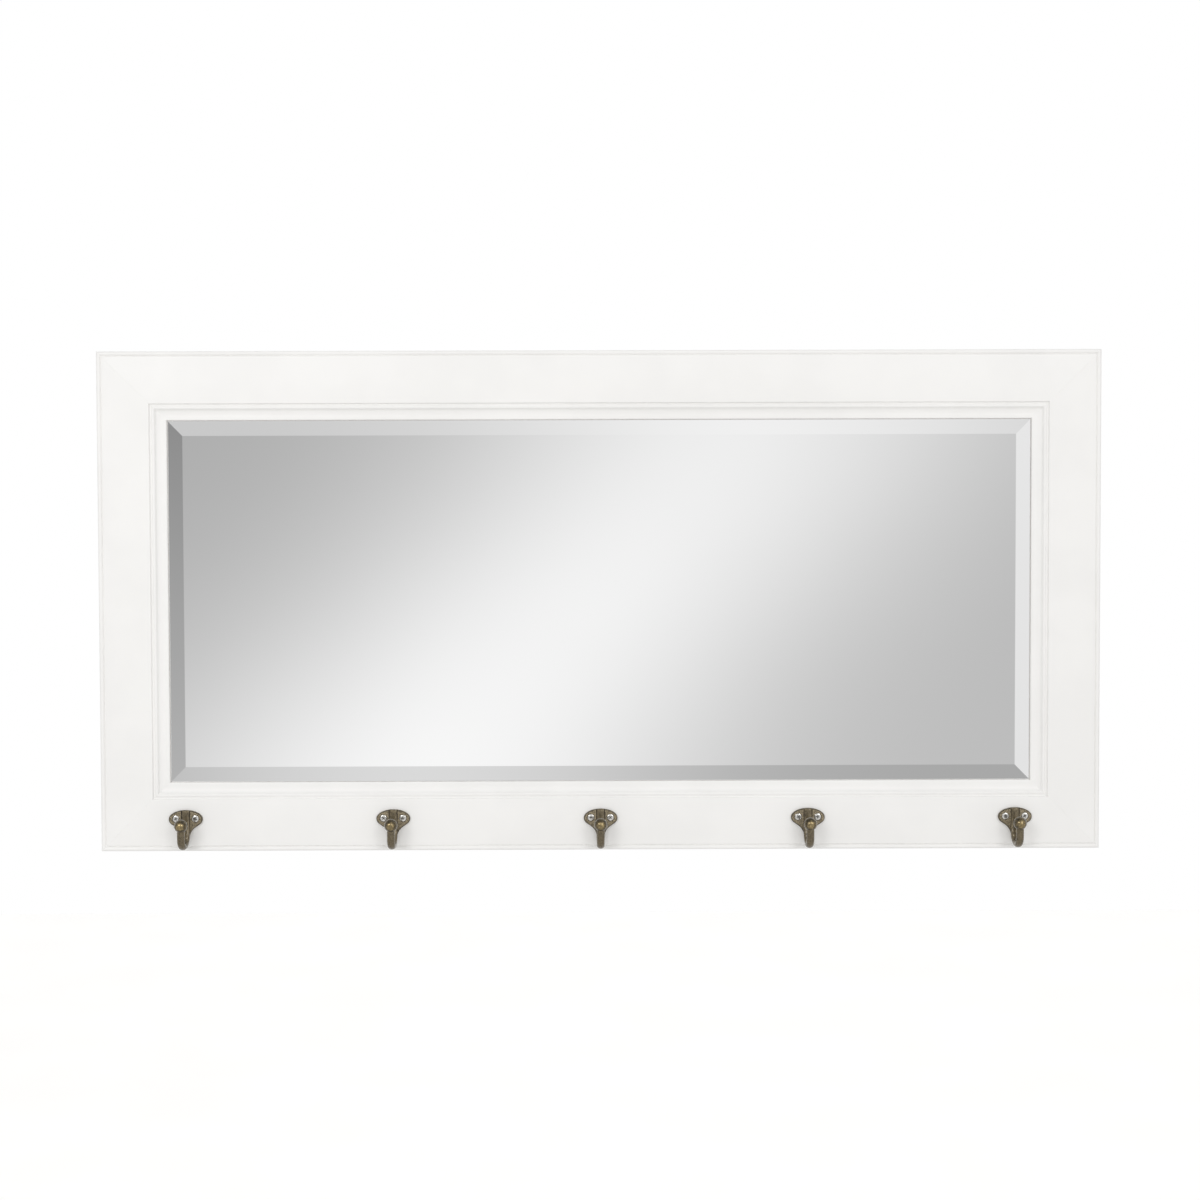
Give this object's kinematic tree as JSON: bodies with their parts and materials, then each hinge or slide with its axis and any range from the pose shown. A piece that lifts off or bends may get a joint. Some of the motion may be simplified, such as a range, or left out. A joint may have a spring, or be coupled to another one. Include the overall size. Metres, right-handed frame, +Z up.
{
  "type": "wall mirror with hooks",
  "caption": "Wide wall mirror with bevelled glass in a white moulded frame with mitred corners, and ball-tipped coat hooks screwed along the lower rail.",
  "frame": {"origin": "on the wall plane, midway between the two points that the rings hang from", "axes": "+X along the width, +Y into the wall so that the front faces -Y, +Z up"},
  "size_m": [0.914, 0.0536, 0.456],
  "materials": {
    "white_lacquered_wood": "sprayed satin white lacquer over primed wood",
    "silvered_glass": "polished float glass silvered on the back, with ground and polished bevels",
    "hardboard": "bare pressed hardboard",
    "aged_brass": "cast brass, darkened and brushed back on the edges, with a polished ball",
    "nickel_plated_steel": "bright nickel plate",
    "zinc_plated_steel": "zinc plate",
    "rubber": "matte moulded rubber"
  },
  "bodies": {
    "mirror": {"top_rail": "white_lacquered_wood", "bottom_rail": "white_lacquered_wood", "left_stile": "white_lacquered_wood", "right_stile": "white_lacquered_wood", "mirror_glass": "silvered_glass", "backing_board": "hardboard", "hook_1": "aged_brass", "hook_2": "aged_brass", "hook_3": "aged_brass", "hook_4": "aged_brass", "hook_5": "aged_brass", "hook_screws_1": "nickel_plated_steel", "hook_screws_2": "nickel_plated_steel", "hook_screws_3": "nickel_plated_steel", "hook_screws_4": "nickel_plated_steel", "hook_screws_5": "nickel_plated_steel", "corner_nails_top_left": "zinc_plated_steel", "corner_nails_top_right": "zinc_plated_steel", "corner_nails_bottom_left": "zinc_plated_steel", "corner_nails_bottom_right": "zinc_plated_steel", "framing_points_top": "zinc_plated_steel", "framing_points_bottom": "zinc_plated_steel", "framing_points_left": "zinc_plated_steel", "framing_points_right": "zinc_plated_steel", "hanger_strap_left": "zinc_plated_steel", "hanger_strap_right": "zinc_plated_steel", "hanger_screws_left": "zinc_plated_steel", "hanger_screws_right": "zinc_plated_steel", "bumper_top_left": "rubber", "bumper_top_right": "rubber", "bumper_bottom_left": "rubber", "bumper_bottom_right": "rubber"},
    "ring_left": {"hanger_ring_left": "zinc_plated_steel"},
    "ring_right": {"hanger_ring_right": "zinc_plated_steel"}
  },
  "joints": [
    {"name": "ring_left_swing", "type": "hinge", "parent": "mirror", "child": "ring_left", "pos_m": [-0.429, -0.0036, -0.019], "axis": [1, 0, 0], "range_deg": [0, 180]},
    {"name": "ring_right_swing", "type": "hinge", "parent": "mirror", "child": "ring_right", "pos_m": [0.429, -0.0036, -0.019], "axis": [1, 0, 0], "range_deg": [0, 180]}
  ]
}
